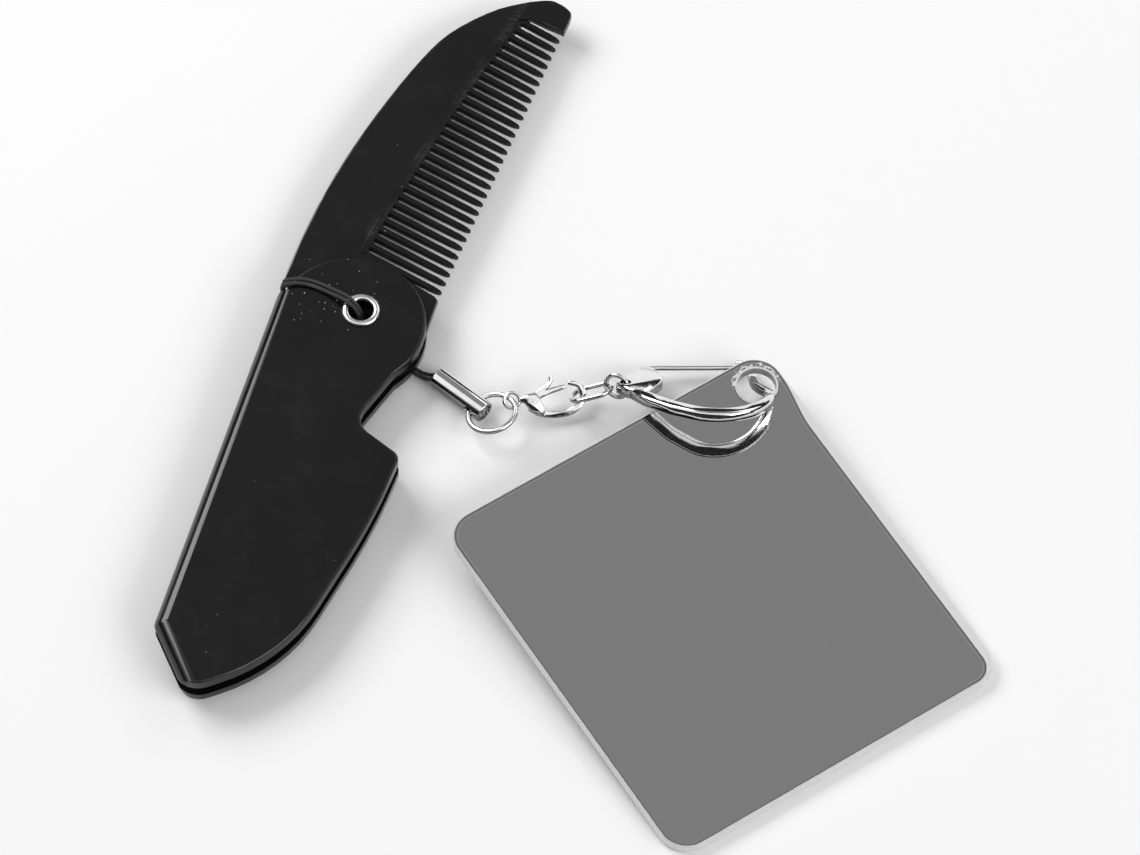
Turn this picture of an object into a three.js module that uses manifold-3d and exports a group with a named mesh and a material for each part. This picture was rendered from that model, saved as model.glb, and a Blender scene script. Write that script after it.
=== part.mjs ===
// Pocket mirror comb: a folding comb whose blade shuts into a slotted case, with a doubled cord
// knotted through the pivot eyelet, a ferrule, a chain of rings and a lobster clasp, and a spring-gate
// clip that carries a square mirror. Millimetres, +Z up; the whole set lies on the plane z = 0.
import * as THREE from 'three';
import { mergeVertices } from 'three/addons/utils/BufferGeometryUtils.js';
import Module from 'manifold-3d';

const wasm = await Module();
wasm.setup();

// Sizes.
const RIGHT_ANGLE = Math.PI / 2;
const rad = THREE.MathUtils.degToRad;

// clearances
const cutOverrun = 5; // how far every cutting tool runs past what it cuts
const seatGap = 0.03; // between faces that are clinched together
const runGap = 0.3; // between sliding or turning faces
const cordGap = 0.15; // between the cord and what it lies on

// comb case
const caseLength = 79; // pivot to the sharp corner of the tip
const caseWidth = 30;
const spineSetback = 15.2; // pivot to the back of the spine
const backWall = 1.8;
const slotWidth = 2.2;
const frontWall = 2;
const webDepth = 2.6; // solid between the two walls, along the spine
const webRise = 0.7; // how far the spine reaches past the pivot
const webFoot = 67.5; // pivot to the foot of the web
const headRadius = 12.9;
const headShiftX = 1.18;
const headShiftY = 2.34;
const rimRound = 0.45;
const spineRound = 2.4;

// comb blade
const bladeLength = 73.2; // pivot to the top of the tip
const bladeWidth = 15.2; // pivot to the back
const bladeThick = 1.6;
const bladeRim = 0.3;
const landThick = 1.15; // the thinner strip that the teeth stand on
const landWidth = 1;
const toothCount = 30;
const toothWidth = 1.32;
const toothThick = 1.15;
const toothTipLength = 2.1;
const toothRidge = 0.34; // chamfer along each edge of a tooth
const toothTaperShare = 0.35; // how much thinner a tooth is at its tip
const tangRadius = 12.3;
const tangFlank = 11.4;
const lugWidth = 1;
const cordNotchHeight = 2.2; // window that lets the cord past the blade's heel

// eyelet and its washer
const eyeletBore = 4;
const eyeletWall = 0.4;
const flangeDiameter = 6.6;
const domeHeight = 0.6;
const rollThick = 0.28;
const washerThick = 0.3;

// cord
const cordDiameter = 0.7;
const cordSides = 8;
const cordSink = 0.01; // cord to the table

// ferrule
const ferruleLength = 11;
const ferruleDiameter = 3.8;
const ferruleWall = 0.45;
const ferruleLip = 0.9;
const ferruleMouth = 2.2;
const crossHole = 2;
const crossHoleInset = 2.3; // from the open end
const knotDiameter = 2.2;

// rings and links
const ringDiameter = 9.15;
const ringWire = 0.95;
const linkWidth = 5.4;
const linkLength = 8.2;
const linkWire = 0.85;
const smallRingDiameter = 4.9;
const smallRingWire = 0.8;

// lobster clasp
const claspEyeDiameter = 3.3;
const claspEyeWire = 0.62;
const claspLength = 12.1; // eye centre to the middle of the hook's end
const clawWidth = 1.25;
const clawThick = 1.4;
const cheekThick = 2.3;
const leverThick = 1;
const leverWidth = 1.15;
const claspPinDiameter = 0.8;
const claspRound = 0.2;
const springThick = 0.2;

// spring-gate clip
const clipLength = 26; // end hole to the far side of the hook
const clipHeight = 19.4; // gate line to the middle of the bow
const clipBarWidth = 2.5;
const clipBarThick = 2;
const hookEndWidth = 1.5;
const hookEndThick = 1.5;
const clipEyeHole = 1.9;
const clipEyeWall = 0.76; // bar between the end hole and the clip's end
const ringToBarDistance = 0.474; // centre of the small ring to the middle of that bar
const gateWire = 0.85;
const gateSlot = 1.15;
const gateGap = 0.2; // round the bent end of the gate in its cheek
const clipCheek = 0.5; // wall on either side of the gate's slot
const clipRound = 0.3; // rims of the hook's end and of the heel
const clipBarRound = 0.5;

// mirror
const mirrorWidth = 64.9;
const mirrorLength = 71.7;
const mirrorThick = 2;
const mirrorCorner = 5;
const mirrorEdgeRound = 0.25;
const mirrorHole = 6.8;
const holeInsetLong = 5.3; // hole centre to the raised edge
const holeInsetWide = 4.85; // hole centre to the edge beside it
const hookOffCentre = 0.8; // hole centre to where the hook passes, towards that edge

// how the pieces lie, in degrees
const ferruleYaw = -25;
const ringYaw = -20;
const ringPitch = 13.6;
const claspYaw = 24;
const claspRoll = 35;
const linkYaw = 17;
const linkPitch = 23;
const linkRoll = -31.7;
const smallRingYaw = 7.6;
const smallRingPitch = 34;
const smallRingRoll = 57.9;
const endBarTurn = 40.5; // where the small ring hangs round the clip's end hole
const clipYaw = 18.3;
const clipPitch = -2.9;
const clipRoll = 146.7;
const mirrorYaw = -40.7;

// Derived levels.
const cordLevel = cordSink + cordDiameter / 2;
const rollBottom = cordSink + cordDiameter + cordGap;
const washerBottom = rollBottom + rollThick + seatGap;
const caseBottom = washerBottom + washerThick + seatGap;
const slotBottom = caseBottom + backWall;
const slotTop = slotBottom + slotWidth;
const caseTop = slotTop + frontWall;
const caseThick = caseTop - caseBottom;
const bladeBottom = slotBottom + (slotWidth - bladeThick) / 2;
const bladeMiddle = bladeBottom + bladeThick / 2;
const barrelRadius = eyeletBore / 2 + eyeletWall;
const caseBore = barrelRadius + cordGap;
const bladeBore = barrelRadius + runGap;

// Helpers.
const materials = {
  plastic: { color: 0x141414, roughness: 0.28, metalness: 0 },
  cord: { color: 0x121212, roughness: 0.85, metalness: 0 },
  chrome: { color: 0xe6e7e9, roughness: 0.12, metalness: 1 },
  mirror: { color: 0x8a8a8a, roughness: 0.04, metalness: 1 },
};
const model = new THREE.Group();

// A closed solid from a three.js geometry, with its faces turned outward.
function solid(geometry) {
  let merged = geometry.clone();
  for (const name of ['normal', 'uv', 'uv1']) merged.deleteAttribute(name);
  merged = mergeVertices(merged, 1e-5);
  const position = merged.attributes.position;
  const faces = [];
  const index = merged.index.array;
  let volume = 0;
  const corner = [new THREE.Vector3(), new THREE.Vector3(), new THREE.Vector3()];
  for (let i = 0; i < index.length; i += 3) {
    const [a, b, c] = [index[i], index[i + 1], index[i + 2]];
    if (a === b || b === c || a === c) continue;
    faces.push(a, b, c);
    [a, b, c].forEach((vertex, k) => corner[k].fromBufferAttribute(position, vertex));
    volume += corner[0].dot(corner[1].clone().cross(corner[2]));
  }
  if (volume < 0) faces.reverse();
  return new wasm.Manifold(new wasm.Mesh({
    numProp: 3,
    vertProperties: Float32Array.from(position.array),
    triVerts: Uint32Array.from(faces),
  }));
}

function moved(body, matrix) {
  return body.transform(matrix.elements);
}

function join(first, ...others) {
  return others.reduce((all, next) => all.add(next), first);
}

function addPiece(name, body, material, place = new THREE.Matrix4()) {
  const raw = body.getMesh();
  const geometry = new THREE.BufferGeometry();
  geometry.setAttribute('position', new THREE.BufferAttribute(Float32Array.from(raw.vertProperties), 3));
  geometry.setIndex(new THREE.BufferAttribute(Uint32Array.from(raw.triVerts), 1));
  geometry.computeVertexNormals();
  const mesh = new THREE.Mesh(geometry, new THREE.MeshStandardMaterial(materials[material]));
  mesh.name = name;
  place.decompose(mesh.position, mesh.quaternion, mesh.scale);
  model.add(mesh);
  return mesh;
}

// A pose: its x axis turned by yaw, lifted by pitch, then rolled about itself.
function pose(origin, yaw, pitch = 0, roll = 0) {
  const turn = new THREE.Euler(rad(roll), rad(-pitch), rad(yaw), 'ZYX');
  return new THREE.Matrix4().makeRotationFromEuler(turn).setPosition(origin);
}

function at(matrix, x, y, z = 0) {
  return new THREE.Vector3(x, y, z).applyMatrix4(matrix);
}

// An outline with straight sides and a tangent arc at each corner: [x, y, radius].
// An arc never takes more than this share of the shorter side beside it.
const filletReachShare = 0.67;
function filleted(corners) {
  const shape = new THREE.Shape();
  corners.forEach(([x, y, radius = 0], i) => {
    const here = new THREE.Vector2(x, y);
    if (!radius) {
      i ? shape.lineTo(x, y) : shape.moveTo(x, y);
      return;
    }
    const [px, py] = corners.at(i - 1);
    const [nx, ny] = corners[(i + 1) % corners.length];
    const before = new THREE.Vector2(px, py).sub(here).normalize();
    const after = new THREE.Vector2(nx, ny).sub(here).normalize();
    const half = Math.acos(before.dot(after)) / 2;
    const shorter = Math.min(here.distanceTo(new THREE.Vector2(px, py)), here.distanceTo(new THREE.Vector2(nx, ny)));
    const reach = Math.min(radius / Math.tan(half), shorter * filletReachShare);
    const start = here.clone().addScaledVector(before, reach);
    const end = here.clone().addScaledVector(after, reach);
    const middle = before.clone().add(after).normalize();
    const centre = here.clone().addScaledVector(middle, reach / Math.cos(half));
    i ? shape.lineTo(start.x, start.y) : shape.moveTo(start.x, start.y);
    const from = Math.atan2(start.y - centre.y, start.x - centre.x);
    const to = Math.atan2(end.y - centre.y, end.x - centre.x);
    shape.absarc(centre.x, centre.y, reach * Math.tan(half), from, to, before.cross(after) > 0);
  });
  shape.closePath();
  return shape;
}

// A flat body between two levels, its rims rounded by `rim` sideways and `rise` in height.
function slab(shape, bottom, top, { rim = 0, rise = rim, steps = 2, arc = 4 } = {}) {
  const geometry = new THREE.ExtrudeGeometry(shape, {
    depth: top - bottom - 2 * rise,
    bevelEnabled: rim > 0,
    bevelSize: rim,
    bevelThickness: rise,
    bevelOffset: -rim,
    bevelSegments: steps,
    curveSegments: arc,
  });
  geometry.translate(0, 0, bottom + rise);
  return solid(geometry);
}

function drum(radius, bottom, top, sides = 32) {
  const geometry = new THREE.CylinderGeometry(radius, radius, top - bottom, sides);
  geometry.rotateX(RIGHT_ANGLE).translate(0, 0, (bottom + top) / 2);
  return solid(geometry);
}

// A body of revolution about z from a closed [radius, height] profile.
function turned(profile, sides) {
  const points = [...profile, profile[0]].map(([radius, height]) => new THREE.Vector2(radius, height));
  const geometry = new THREE.LatheGeometry(points, sides);
  geometry.rotateX(RIGHT_ANGLE);
  return solid(geometry);
}

// A curve that passes evenly from one of its points to the next.
class Route extends THREE.CatmullRomCurve3 {
  getPointAt(t, target) {
    return this.getPoint(t, target);
  }

  getTangentAt(t, target) {
    return this.getTangent(t, target);
  }
}

function disc(radius, sides) {
  const points = Array.from({ length: sides }, (_, i) => {
    const angle = (i + 0.5) / sides * 2 * Math.PI;
    return new THREE.Vector2(radius * Math.cos(angle), radius * Math.sin(angle));
  });
  return new THREE.Shape(points);
}

function wire(points, diameter, perStretch = 1, sides = cordSides) {
  const path = new Route(points.map(([x, y, z]) => new THREE.Vector3(x, y, z)), false, 'centripetal');
  const steps = (points.length - 1) * perStretch;
  return solid(new THREE.ExtrudeGeometry(disc(diameter / 2, sides), { steps, extrudePath: path }));
}

// A flat bar of changing width along a smooth line of [x, y, width].
function ribbon(stations, samples) {
  const line = new THREE.SplineCurve(stations.map(([x, y]) => new THREE.Vector2(x, y)));
  const left = [];
  const right = [];
  for (let i = 0; i <= samples; i += 1) {
    const t = i / samples;
    const s = t * (stations.length - 1);
    const k = Math.min(Math.floor(s), stations.length - 2);
    const half = THREE.MathUtils.lerp(stations[k][2], stations[k + 1][2], s - k) / 2;
    const point = line.getPoint(t);
    const side = line.getTangent(t);
    left.push(new THREE.Vector2(point.x - side.y * half, point.y + side.x * half));
    right.push(new THREE.Vector2(point.x + side.y * half, point.y - side.x * half));
  }
  return new THREE.Shape([...right, ...left.reverse()]);
}

// A ring of round wire, drawn out along x by `stretch`.
function ring(radius, wireDiameter, stretch = 0, around = 28, sides = 8) {
  const geometry = new THREE.TorusGeometry(radius, wireDiameter / 2, sides, around);
  const position = geometry.attributes.position;
  geometry.rotateZ(Math.PI / around);
  for (let i = 0; i < position.count; i += 1) {
    position.setX(i, position.getX(i) + Math.sign(position.getX(i)) * stretch / 2);
  }
  return solid(geometry);
}

// Comb case.
// Corners as shares of the width (from the spine), of the length (down from the pivot) and of the width.
const caseCornerShares = [
  [0.827, -webRise / caseLength, 0],
  [0, -webRise / caseLength, 0.045],
  [0, 0.861, 0.09],
  [0.299, 1, 0.14],
  [0.766, 0.867, 1],
  [0.973, 0.491, 4],
  [1, 0.326, 0.06],
  [0.681, 0.2715, 0.12],
  [0.863, 0.066, 0],
];
const caseX = (share) => share * caseWidth - spineSetback;
const caseY = (share) => -share * caseLength;
const caseOutline = filleted(
  caseCornerShares.map(([x, y, radius]) => [caseX(x), caseY(y), radius * caseWidth]),
);
const headOutline = new THREE.Shape().absarc(-headShiftX, -headShiftY, headRadius, 0, 2 * Math.PI);

const farOut = caseLength + caseWidth;
const blockRoundShare = 1.125; // of the spine's rounding, so that its inner edge still bends smoothly
const kinkShares = caseCornerShares[2];
const tipShares = caseCornerShares[3];
const kink = new THREE.Vector2(caseX(kinkShares[0]), caseY(kinkShares[1]));
const endEdge = new THREE.Vector2(caseX(tipShares[0]), caseY(tipShares[1])).sub(kink);
const beyondTip = kink.clone().addScaledVector(endEdge, 2);
const roundedBlock = filleted([
  [kink.x, farOut],
  [kink.x, kink.y, spineRound * blockRoundShare],
  [beyondTip.x, beyondTip.y],
  [farOut, beyondTip.y],
  [farOut, farOut],
]);
const halfRise = caseThick / 2 - rimRound / 2;
const webEdge = webDepth - spineSetback;
const slotOutline = new THREE.Shape([
  [webEdge, -webFoot],
  [webEdge, webRise],
  [-farOut, webRise],
  [-farOut, farOut],
  [farOut, farOut],
  [farOut, -farOut],
  [-farOut, -farOut],
  [-farOut, -webFoot],
].map(([x, y]) => new THREE.Vector2(x, y)));

const caseBody = join(
  slab(caseOutline, caseBottom, caseTop, { rim: rimRound, arc: 4 }),
  slab(headOutline, caseBottom, caseTop, { rim: rimRound, arc: 24 }),
)
  .intersect(slab(roundedBlock, caseBottom, caseTop, { rim: spineRound, rise: halfRise, steps: 5, arc: 3 }))
  .subtract(slab(slotOutline, slotBottom, slotTop))
  .subtract(drum(caseBore, caseBottom - cutOverrun, caseTop + cutOverrun));
addPiece('handle_case', caseBody, 'plastic');

// Comb blade.
const bladeX = (share) => share * bladeWidth;
const bladeY = (share) => share * bladeLength;
const bladePoint = ([x, y]) => new THREE.Vector2(bladeX(x), bladeY(y));
// Shares of the blade's width and length, measured from the pivot.
const backShares = [
  [-0.984, 0.15], [-0.934, 0.273], [-0.822, 0.4235], [-0.632, 0.589],
  [-0.395, 0.746], [-0.171, 0.844], [0.217, 0.934], [0.582, 0.983],
];
const tipCornerShares = [[0.797, 1], [0.924, 0.997], [1.02, 0.989], [1.09, 0.9775], [1.1, 0.957]];
const guardShares = [[1.085, 0.918], [0.873, 0.926], [0.66, 0.9365]];
const rootShares = [
  [0.587, 0.923], [0.474, 0.851], [0.334, 0.7515], [0.164, 0.602],
  [0.028, 0.4645], [-0.103, 0.328], [-0.192, 0.1985], [-0.212, 0.178],
];
const toothTipShares = [[1.066, 0.892], [0.763, 0.123]];
const heelShares = [[0.7, 0.108], [0.75, 0.099]];
const toothShoulderShare = 0.94; // of a tooth's width, where its tip begins
const toothTipShare = 0.86;
const rootCurve = new THREE.SplineCurve(rootShares.map(bladePoint));
const notchTop = webRise + runGap + cordNotchHeight;
const lugEdge = webEdge - lugWidth / 2;

// The blade's outline with its toothed side drawn at `inset` behind the roots of the teeth.
function bladeOutline(inset) {
  const roots = rootCurve.getPoints(16).map((point) => new THREE.Vector2(point.x - inset, point.y));
  const tangStart = Math.acos(tangFlank / tangRadius);
  const shape = new THREE.Shape();
  shape.moveTo(lugEdge, webRise + runGap);
  shape.lineTo(lugEdge, notchTop);
  shape.lineTo(-bladeWidth, notchTop);
  shape.splineThru(backShares.map(bladePoint));
  shape.splineThru(tipCornerShares.map(bladePoint));
  [...guardShares.map(bladePoint), ...roots, ...heelShares.map(bladePoint)].forEach((point) => {
    shape.lineTo(point.x, point.y);
  });
  shape.lineTo(tangFlank, bladeY(heelShares[1][1]) - lugWidth);
  shape.lineTo(tangFlank, -tangRadius * Math.sin(tangStart) + lugWidth);
  shape.absarc(0, 0, tangRadius, -tangStart, -Math.PI, true);
  shape.lineTo(-tangRadius, webRise + runGap);
  shape.closePath();
  return shape;
}

function tooth(k) {
  const t = k / (toothCount - 1);
  const root = rootCurve.getPointAt(t);
  const tip = bladePoint(toothTipShares[0]).lerp(bladePoint(toothTipShares[1]), t);
  const reach = tip.clone().sub(root);
  const length = reach.length();
  const half = toothWidth / 2;
  const start = -landWidth / 2;
  const shoulder = length - toothTipLength;
  const shape = new THREE.Shape();
  shape.moveTo(start, -half);
  shape.lineTo(shoulder, -half * toothShoulderShare);
  shape.quadraticCurveTo(length, -half * toothTipShare, length, 0);
  shape.quadraticCurveTo(length, half * toothTipShare, shoulder, half * toothShoulderShare);
  shape.lineTo(start, half);
  shape.closePath();
  const geometry = new THREE.ExtrudeGeometry(shape, {
    depth: toothThick - 2 * toothRidge,
    bevelSize: toothRidge,
    bevelThickness: toothRidge,
    bevelOffset: -toothRidge,
    bevelSegments: 1,
    curveSegments: 3,
  });
  geometry.translate(0, 0, toothRidge - toothThick / 2);
  const position = geometry.attributes.position;
  for (let i = 0; i < position.count; i += 1) {
    const along = Math.max(position.getX(i) / length, 0);
    position.setZ(i, position.getZ(i) * (1 - toothTaperShare * along));
  }
  const turn = new THREE.Matrix4().makeRotationZ(reach.angle()).setPosition(root.x, root.y, bladeMiddle);
  return moved(solid(geometry), turn);
}

const bladePlate = slab(bladeOutline(landWidth), bladeBottom, bladeBottom + bladeThick, { rim: bladeRim, arc: 3 });
const land = slab(
  new THREE.Shape([
    ...rootCurve.getPoints(16),
    ...rootCurve.getPoints(16).reverse().map((point) => new THREE.Vector2(point.x - 2 * landWidth, point.y)),
  ]),
  bladeMiddle - landThick / 2,
  bladeMiddle + landThick / 2,
);
const teeth = Array.from({ length: toothCount }, (_, k) => tooth(k));
addPiece(
  'comb_blade',
  join(bladePlate, land, ...teeth).subtract(drum(bladeBore, slotBottom, slotTop)),
  'plastic',
);

// Eyelet.
const boreRadius = eyeletBore / 2;
const flangeRadius = flangeDiameter / 2;
const flangeReach = flangeRadius - boreRadius;
const domeShares = [
  [1, 0.05], [1, 0.4], [0.86, 0.78], [0.6, 0.98], [0.34, 0.96], [0.12, 0.66], [0, 0.1],
];
const rollShares = [[0, 2.2], [0.1, 0.7], [0.3, 0.1], [0.6, 0], [0.85, 0.25], [0.85, 1]];
addPiece('pivot_eyelet', turned([
  [barrelRadius, rollBottom + rollThick],
  [barrelRadius, caseTop + seatGap],
  ...domeShares.map(([r, z]) => [boreRadius + r * flangeReach, caseTop + seatGap + z * domeHeight]),
  ...rollShares.map(([r, z]) => [boreRadius + r * flangeReach, rollBottom + z * rollThick]),
], 32), 'chrome');
addPiece('eyelet_washer', turned([
  [barrelRadius + cordGap, washerBottom],
  [flangeRadius, washerBottom],
  [flangeRadius, washerBottom + washerThick],
  [barrelRadius + cordGap, washerBottom + washerThick],
], 32), 'chrome');

// Cord.
// One side of the doubled cord, [x, y, z, half the spacing of the two strands]: from where it leaves
// the case, up through the eyelet, over the head, round the spine and back under to the eyelet's
// mouth, where the loop closes round the two standing strands.
const cordRoute = [
  [12.05, -5.15, 0.36, 0.45], [9.5, -4.25, 0.36, 0.45], [7, -3.2, 0.36, 0.45],
  [4.5, -2.05, 0.36, 0.45], [2.8, -1.2, 0.37, 0.44], [1.6, -0.6, 0.5, 0.42],
  [0.8, -0.25, 1, 0.42], [0.3, -0.05, 2, 0.42], [0.1, 0, 3.5, 0.42],
  [-0.1, 0.05, 5.2, 0.42], [-0.45, 0.15, 6.8, 0.42], [-1.1, 0.35, 7.95, 0.42],
  [-2.2, 0.75, 8.62, 0.43], [-3.6, 1.25, 8.64, 0.45], [-5.2, 1.8, 8.3, 0.45],
  [-7.3, 2.4, 8, 0.45], [-9.6, 2.75, 7.98, 0.45], [-11.8, 2.6, 7.98, 0.45],
  [-13.4, 2.05, 8, 0.45], [-14.25, 1.8, 7.7, 0.45], [-14.55, 1.7, 6.9, 0.45],
  [-14.55, 1.65, 5.2, 0.45], [-14.55, 1.6, 3.4, 0.45], [-14.55, 1.6, 1.6, 0.45],
  [-14.2, 1.6, 0.7, 0.45], [-13.4, 1.55, 0.36, 0.45], [-11.5, 1.35, 0.36, 0.45],
  [-9, 1.1, 0.36, 0.45], [-6.5, 0.8, 0.36, 0.5], [-4.2, 0.5, 0.36, 0.7],
  [-2.6, 0.25, 0.38, 0.93], [-1.75, 0.1, 0.5, 1], [-1.05, 0, 1.05, 1.1],
  [-0.5, 0, 1.65, 1.3], [0.2, 0, 1.95, 1.35], [0.9, 0, 2, 1], [1.28, 0, 2, 0.5],
];
const bight = [1.4, 0, 2];
const strand = (side) => cordRoute.map(([x, y, z, half]) => [x, y + side * half, z]);
addPiece('strap_loop', wire([...strand(1), bight, ...strand(-1).reverse()], cordDiameter), 'cord');

// The two ends run from the edge of the case into the ferrule and are knotted inside it.
const exitRadius = 13.3; // pivot to where the cord bends clear of the case
const exitAngle = -23;
const exitYaw = -10.5;
const exitToFerrule = 2.9;
const strandHalf = 0.45;
const exit = new THREE.Vector3(exitRadius * Math.cos(rad(exitAngle)), exitRadius * Math.sin(rad(exitAngle)), 0);
const exitPose = pose(exit, exitYaw);
const ferrulePose = pose(
  at(exitPose, exitToFerrule, 0).setZ(ferruleDiameter / 2),
  ferruleYaw,
);
const knotCentre = ferruleLip + runGap + knotDiameter / 2;
const knotSpot = at(ferrulePose, knotCentre, 0);
const endShares = [[0, 0], [0.3, 0.09], [0.72, 0.52], [1, 0.92]];
const cordEnd = (side) => [
  ...endShares.map(([along, lift]) => {
    const spot = at(exitPose, runGap / 2 + along * (exitToFerrule - runGap / 2), 0);
    return [spot.x, spot.y + side * strandHalf, THREE.MathUtils.lerp(cordLevel, ferruleDiameter / 2, lift)];
  }),
  ...[ferruleLip * 0.6, knotCentre].map((along) => {
    const spot = at(ferrulePose, along, 0);
    return [spot.x, spot.y + side * strandHalf, spot.z];
  }),
];
const knot = moved(
  solid(new THREE.SphereGeometry(knotDiameter / 2, 12, 8)),
  new THREE.Matrix4().makeTranslation(knotSpot),
);
addPiece(
  'strap_tail',
  join(wire(cordEnd(1), cordDiameter), wire(cordEnd(-1), cordDiameter), knot),
  'cord',
);

// Ferrule.
const ferruleRadius = ferruleDiameter / 2;
const ferruleBore = ferruleRadius - ferruleWall;
const mouthRadius = ferruleMouth / 2;
const ferruleEdge = ferruleWall / 3;
const alongX = new THREE.Matrix4().makeRotationY(RIGHT_ANGLE);
const holeAt = ferruleLength - crossHoleInset;
const crossDrill = moved(
  drum(crossHole / 2, -ferruleDiameter, ferruleDiameter, 20),
  new THREE.Matrix4().makeRotationX(RIGHT_ANGLE).setPosition(holeAt, 0, 0),
);
const tube = moved(turned([
  [mouthRadius, ferruleEdge],
  [mouthRadius + ferruleEdge, 0],
  [ferruleRadius - 2 * ferruleEdge, 0],
  [ferruleRadius, 2 * ferruleEdge],
  [ferruleRadius, ferruleLength - ferruleEdge],
  [ferruleRadius - ferruleEdge, ferruleLength],
  [ferruleBore, ferruleLength],
  [ferruleBore, ferruleLip],
  [mouthRadius, ferruleLip],
], 32), alongX);
addPiece('cord_ferrule', tube.subtract(crossDrill), 'chrome', ferrulePose);

// Jump ring.
const ringRadius = (ringDiameter - ringWire) / 2;
const wallMiddle = ferruleRadius - ferruleWall / 2;
const ringReach = Math.sqrt(ringRadius ** 2 - wallMiddle ** 2);
const ringHinge = pose(at(ferrulePose, holeAt, 0), ringYaw, ringPitch);
const ringPose = pose(at(ringHinge, ringReach, 0), ringYaw, ringPitch);
addPiece('jump_ring', ring(ringRadius, ringWire), 'chrome', ringPose);

// Lobster clasp.
const claspOnRing = rad(70);
const claspPose = pose(
  at(ringPose, ringRadius * Math.cos(claspOnRing), ringRadius * Math.sin(claspOnRing)),
  claspYaw,
  0,
  claspRoll,
);
// Stations as shares of the clasp's length, widths as shares of the claw's width.
const claspRibbon = (shares, samples) => ribbon(
  shares.map(([x, y, width]) => [x * claspLength, y * claspLength, width * clawWidth]),
  samples,
);
const clawShares = [
  [0.25, -0.1, 1.5], [0.36, -0.195, 1.3], [0.5, -0.255, 0.96], [0.69, -0.269, 0.9], [0.85, -0.228, 0.98],
  [0.975, -0.122, 0.92], [1.005, 0.008, 0.88], [0.95, 0.115, 0.8], [0.81, 0.158, 0.56],
];
const noseShares = [
  [0.256, -0.029, 1.15], [0.364, 0.021, 1], [0.512, 0.062, 0.8], [0.66, 0.091, 0.72],
  [0.718, 0.103, 0.64], [0.766, 0.115, 0.56],
];
const tabShares = [
  [0.34, 0.03, 0.96], [0.446, 0.107, 0.76], [0.52, 0.153, 0.62], [0.57, 0.215, 0.54], [0.583, 0.289, 0.5],
];
const shoulderShares = [
  [0.1, -0.037, 0], [0.165, -0.062, 0.03], [0.26, -0.19, 0.04], [0.42, -0.262, 0],
  [0.45, -0.185, 0.02], [0.36, 0.066, 0.03], [0.23, 0.062, 0.04], [0.1, 0.034, 0],
];
const claspPivot = [0.256 * claspLength, -0.029 * claspLength];
const slotFloor = -0.145 * claspLength;
const slotStart = 0.185 * claspLength;
const leverSlot = leverThick + 2 * cordGap;
const pinRadius = claspPinDiameter / 2;
const atPivot = new THREE.Matrix4().makeTranslation(...claspPivot, 0);
const leverBox = new THREE.Shape([
  [slotStart, slotFloor], [0.6 * claspLength, slotFloor], [0.6 * claspLength, claspLength], [slotStart, claspLength],
].map(([x, y]) => new THREE.Vector2(x, y)));
const eyeRadius = (claspEyeDiameter - claspEyeWire) / 2;
const shoulder = slab(
  filleted(shoulderShares.map((shares) => shares.map((share) => share * claspLength))),
  -cheekThick / 2,
  cheekThick / 2,
  { rim: claspRound, steps: 1, arc: 2 },
);
const neck = slab(
  ribbon([[eyeRadius, 0, claspEyeWire], [slotStart, 0, leverThick]], 1),
  -claspEyeWire / 2,
  claspEyeWire / 2,
);
const claspBody = join(
  ring(eyeRadius, claspEyeWire, 0, 20, 6),
  neck,
  shoulder,
  slab(claspRibbon(clawShares, 24), -clawThick / 2, clawThick / 2, { rim: claspRound, steps: 2 }),
)
  .subtract(slab(leverBox, -leverSlot / 2, leverSlot / 2))
  .subtract(moved(drum(pinRadius + seatGap * 2, -cheekThick, cheekThick, 16), atPivot));
addPiece('clasp_body', claspBody, 'chrome', claspPose);

const leverSolid = join(
  slab(claspRibbon(noseShares, 12), -leverThick / 2, leverThick / 2, { rim: cordGap, steps: 1 }),
  slab(claspRibbon(tabShares, 10), -leverThick / 2, leverThick / 2, { rim: cordGap, steps: 1 }),
  moved(drum(leverWidth * 0.7, -leverThick / 2, leverThick / 2, 20), atPivot),
).subtract(moved(drum(pinRadius + cordGap, -cheekThick, cheekThick, 16), atPivot));
addPiece('clasp_lever', leverSolid, 'chrome', claspPose);
addPiece('clasp_pin', moved(drum(pinRadius, -cheekThick / 2, cheekThick / 2, 16), atPivot), 'chrome', claspPose);

const springShares = [[0.3, -0.13], [0.39, -0.13], [0.422, -0.108], [0.395, -0.084], [0.33, -0.066]];
const springLeaf = ribbon(
  springShares.map(([x, y]) => [x * claspLength, y * claspLength, springThick]),
  10,
);
addPiece('clasp_spring', slab(springLeaf, -leverThick * 0.4, leverThick * 0.4), 'chrome', claspPose);

// Oval link and small ring.
const linkRadius = (linkWidth - linkWire) / 2;
const linkReach = linkLength - linkWire;
const linkSeatShares = [0.8449, -0.0473];
const linkHinge = pose(at(claspPose, ...linkSeatShares.map((share) => share * claspLength)), linkYaw, linkPitch, linkRoll);
const linkPose = pose(at(linkHinge, linkReach / 2, 0), linkYaw, linkPitch, linkRoll);
addPiece('oval_link', ring(linkRadius, linkWire, linkReach - 2 * linkRadius), 'chrome', linkPose);

const smallRadius = (smallRingDiameter - smallRingWire) / 2;
const ringSlack = smallRadius - smallRingWire / 2 - linkWire / 2 - cordGap;
const smallHinge = pose(at(linkHinge, linkReach, 0), smallRingYaw, smallRingPitch, smallRingRoll);
const smallPose = pose(at(smallHinge, ringSlack, 0), smallRingYaw, smallRingPitch, smallRingRoll);
addPiece('clip_ring', ring(smallRadius, smallRingWire, 0, 24), 'chrome', smallPose);

// Spring-gate clip.
const clipX = (share) => share * clipLength;
const clipY = (share) => share * clipHeight;
const clipRibbon = (shares, width, samples) => ribbon(
  shares.map(([x, y, w]) => [clipX(x), clipY(y), w * width]),
  samples,
);
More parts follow.
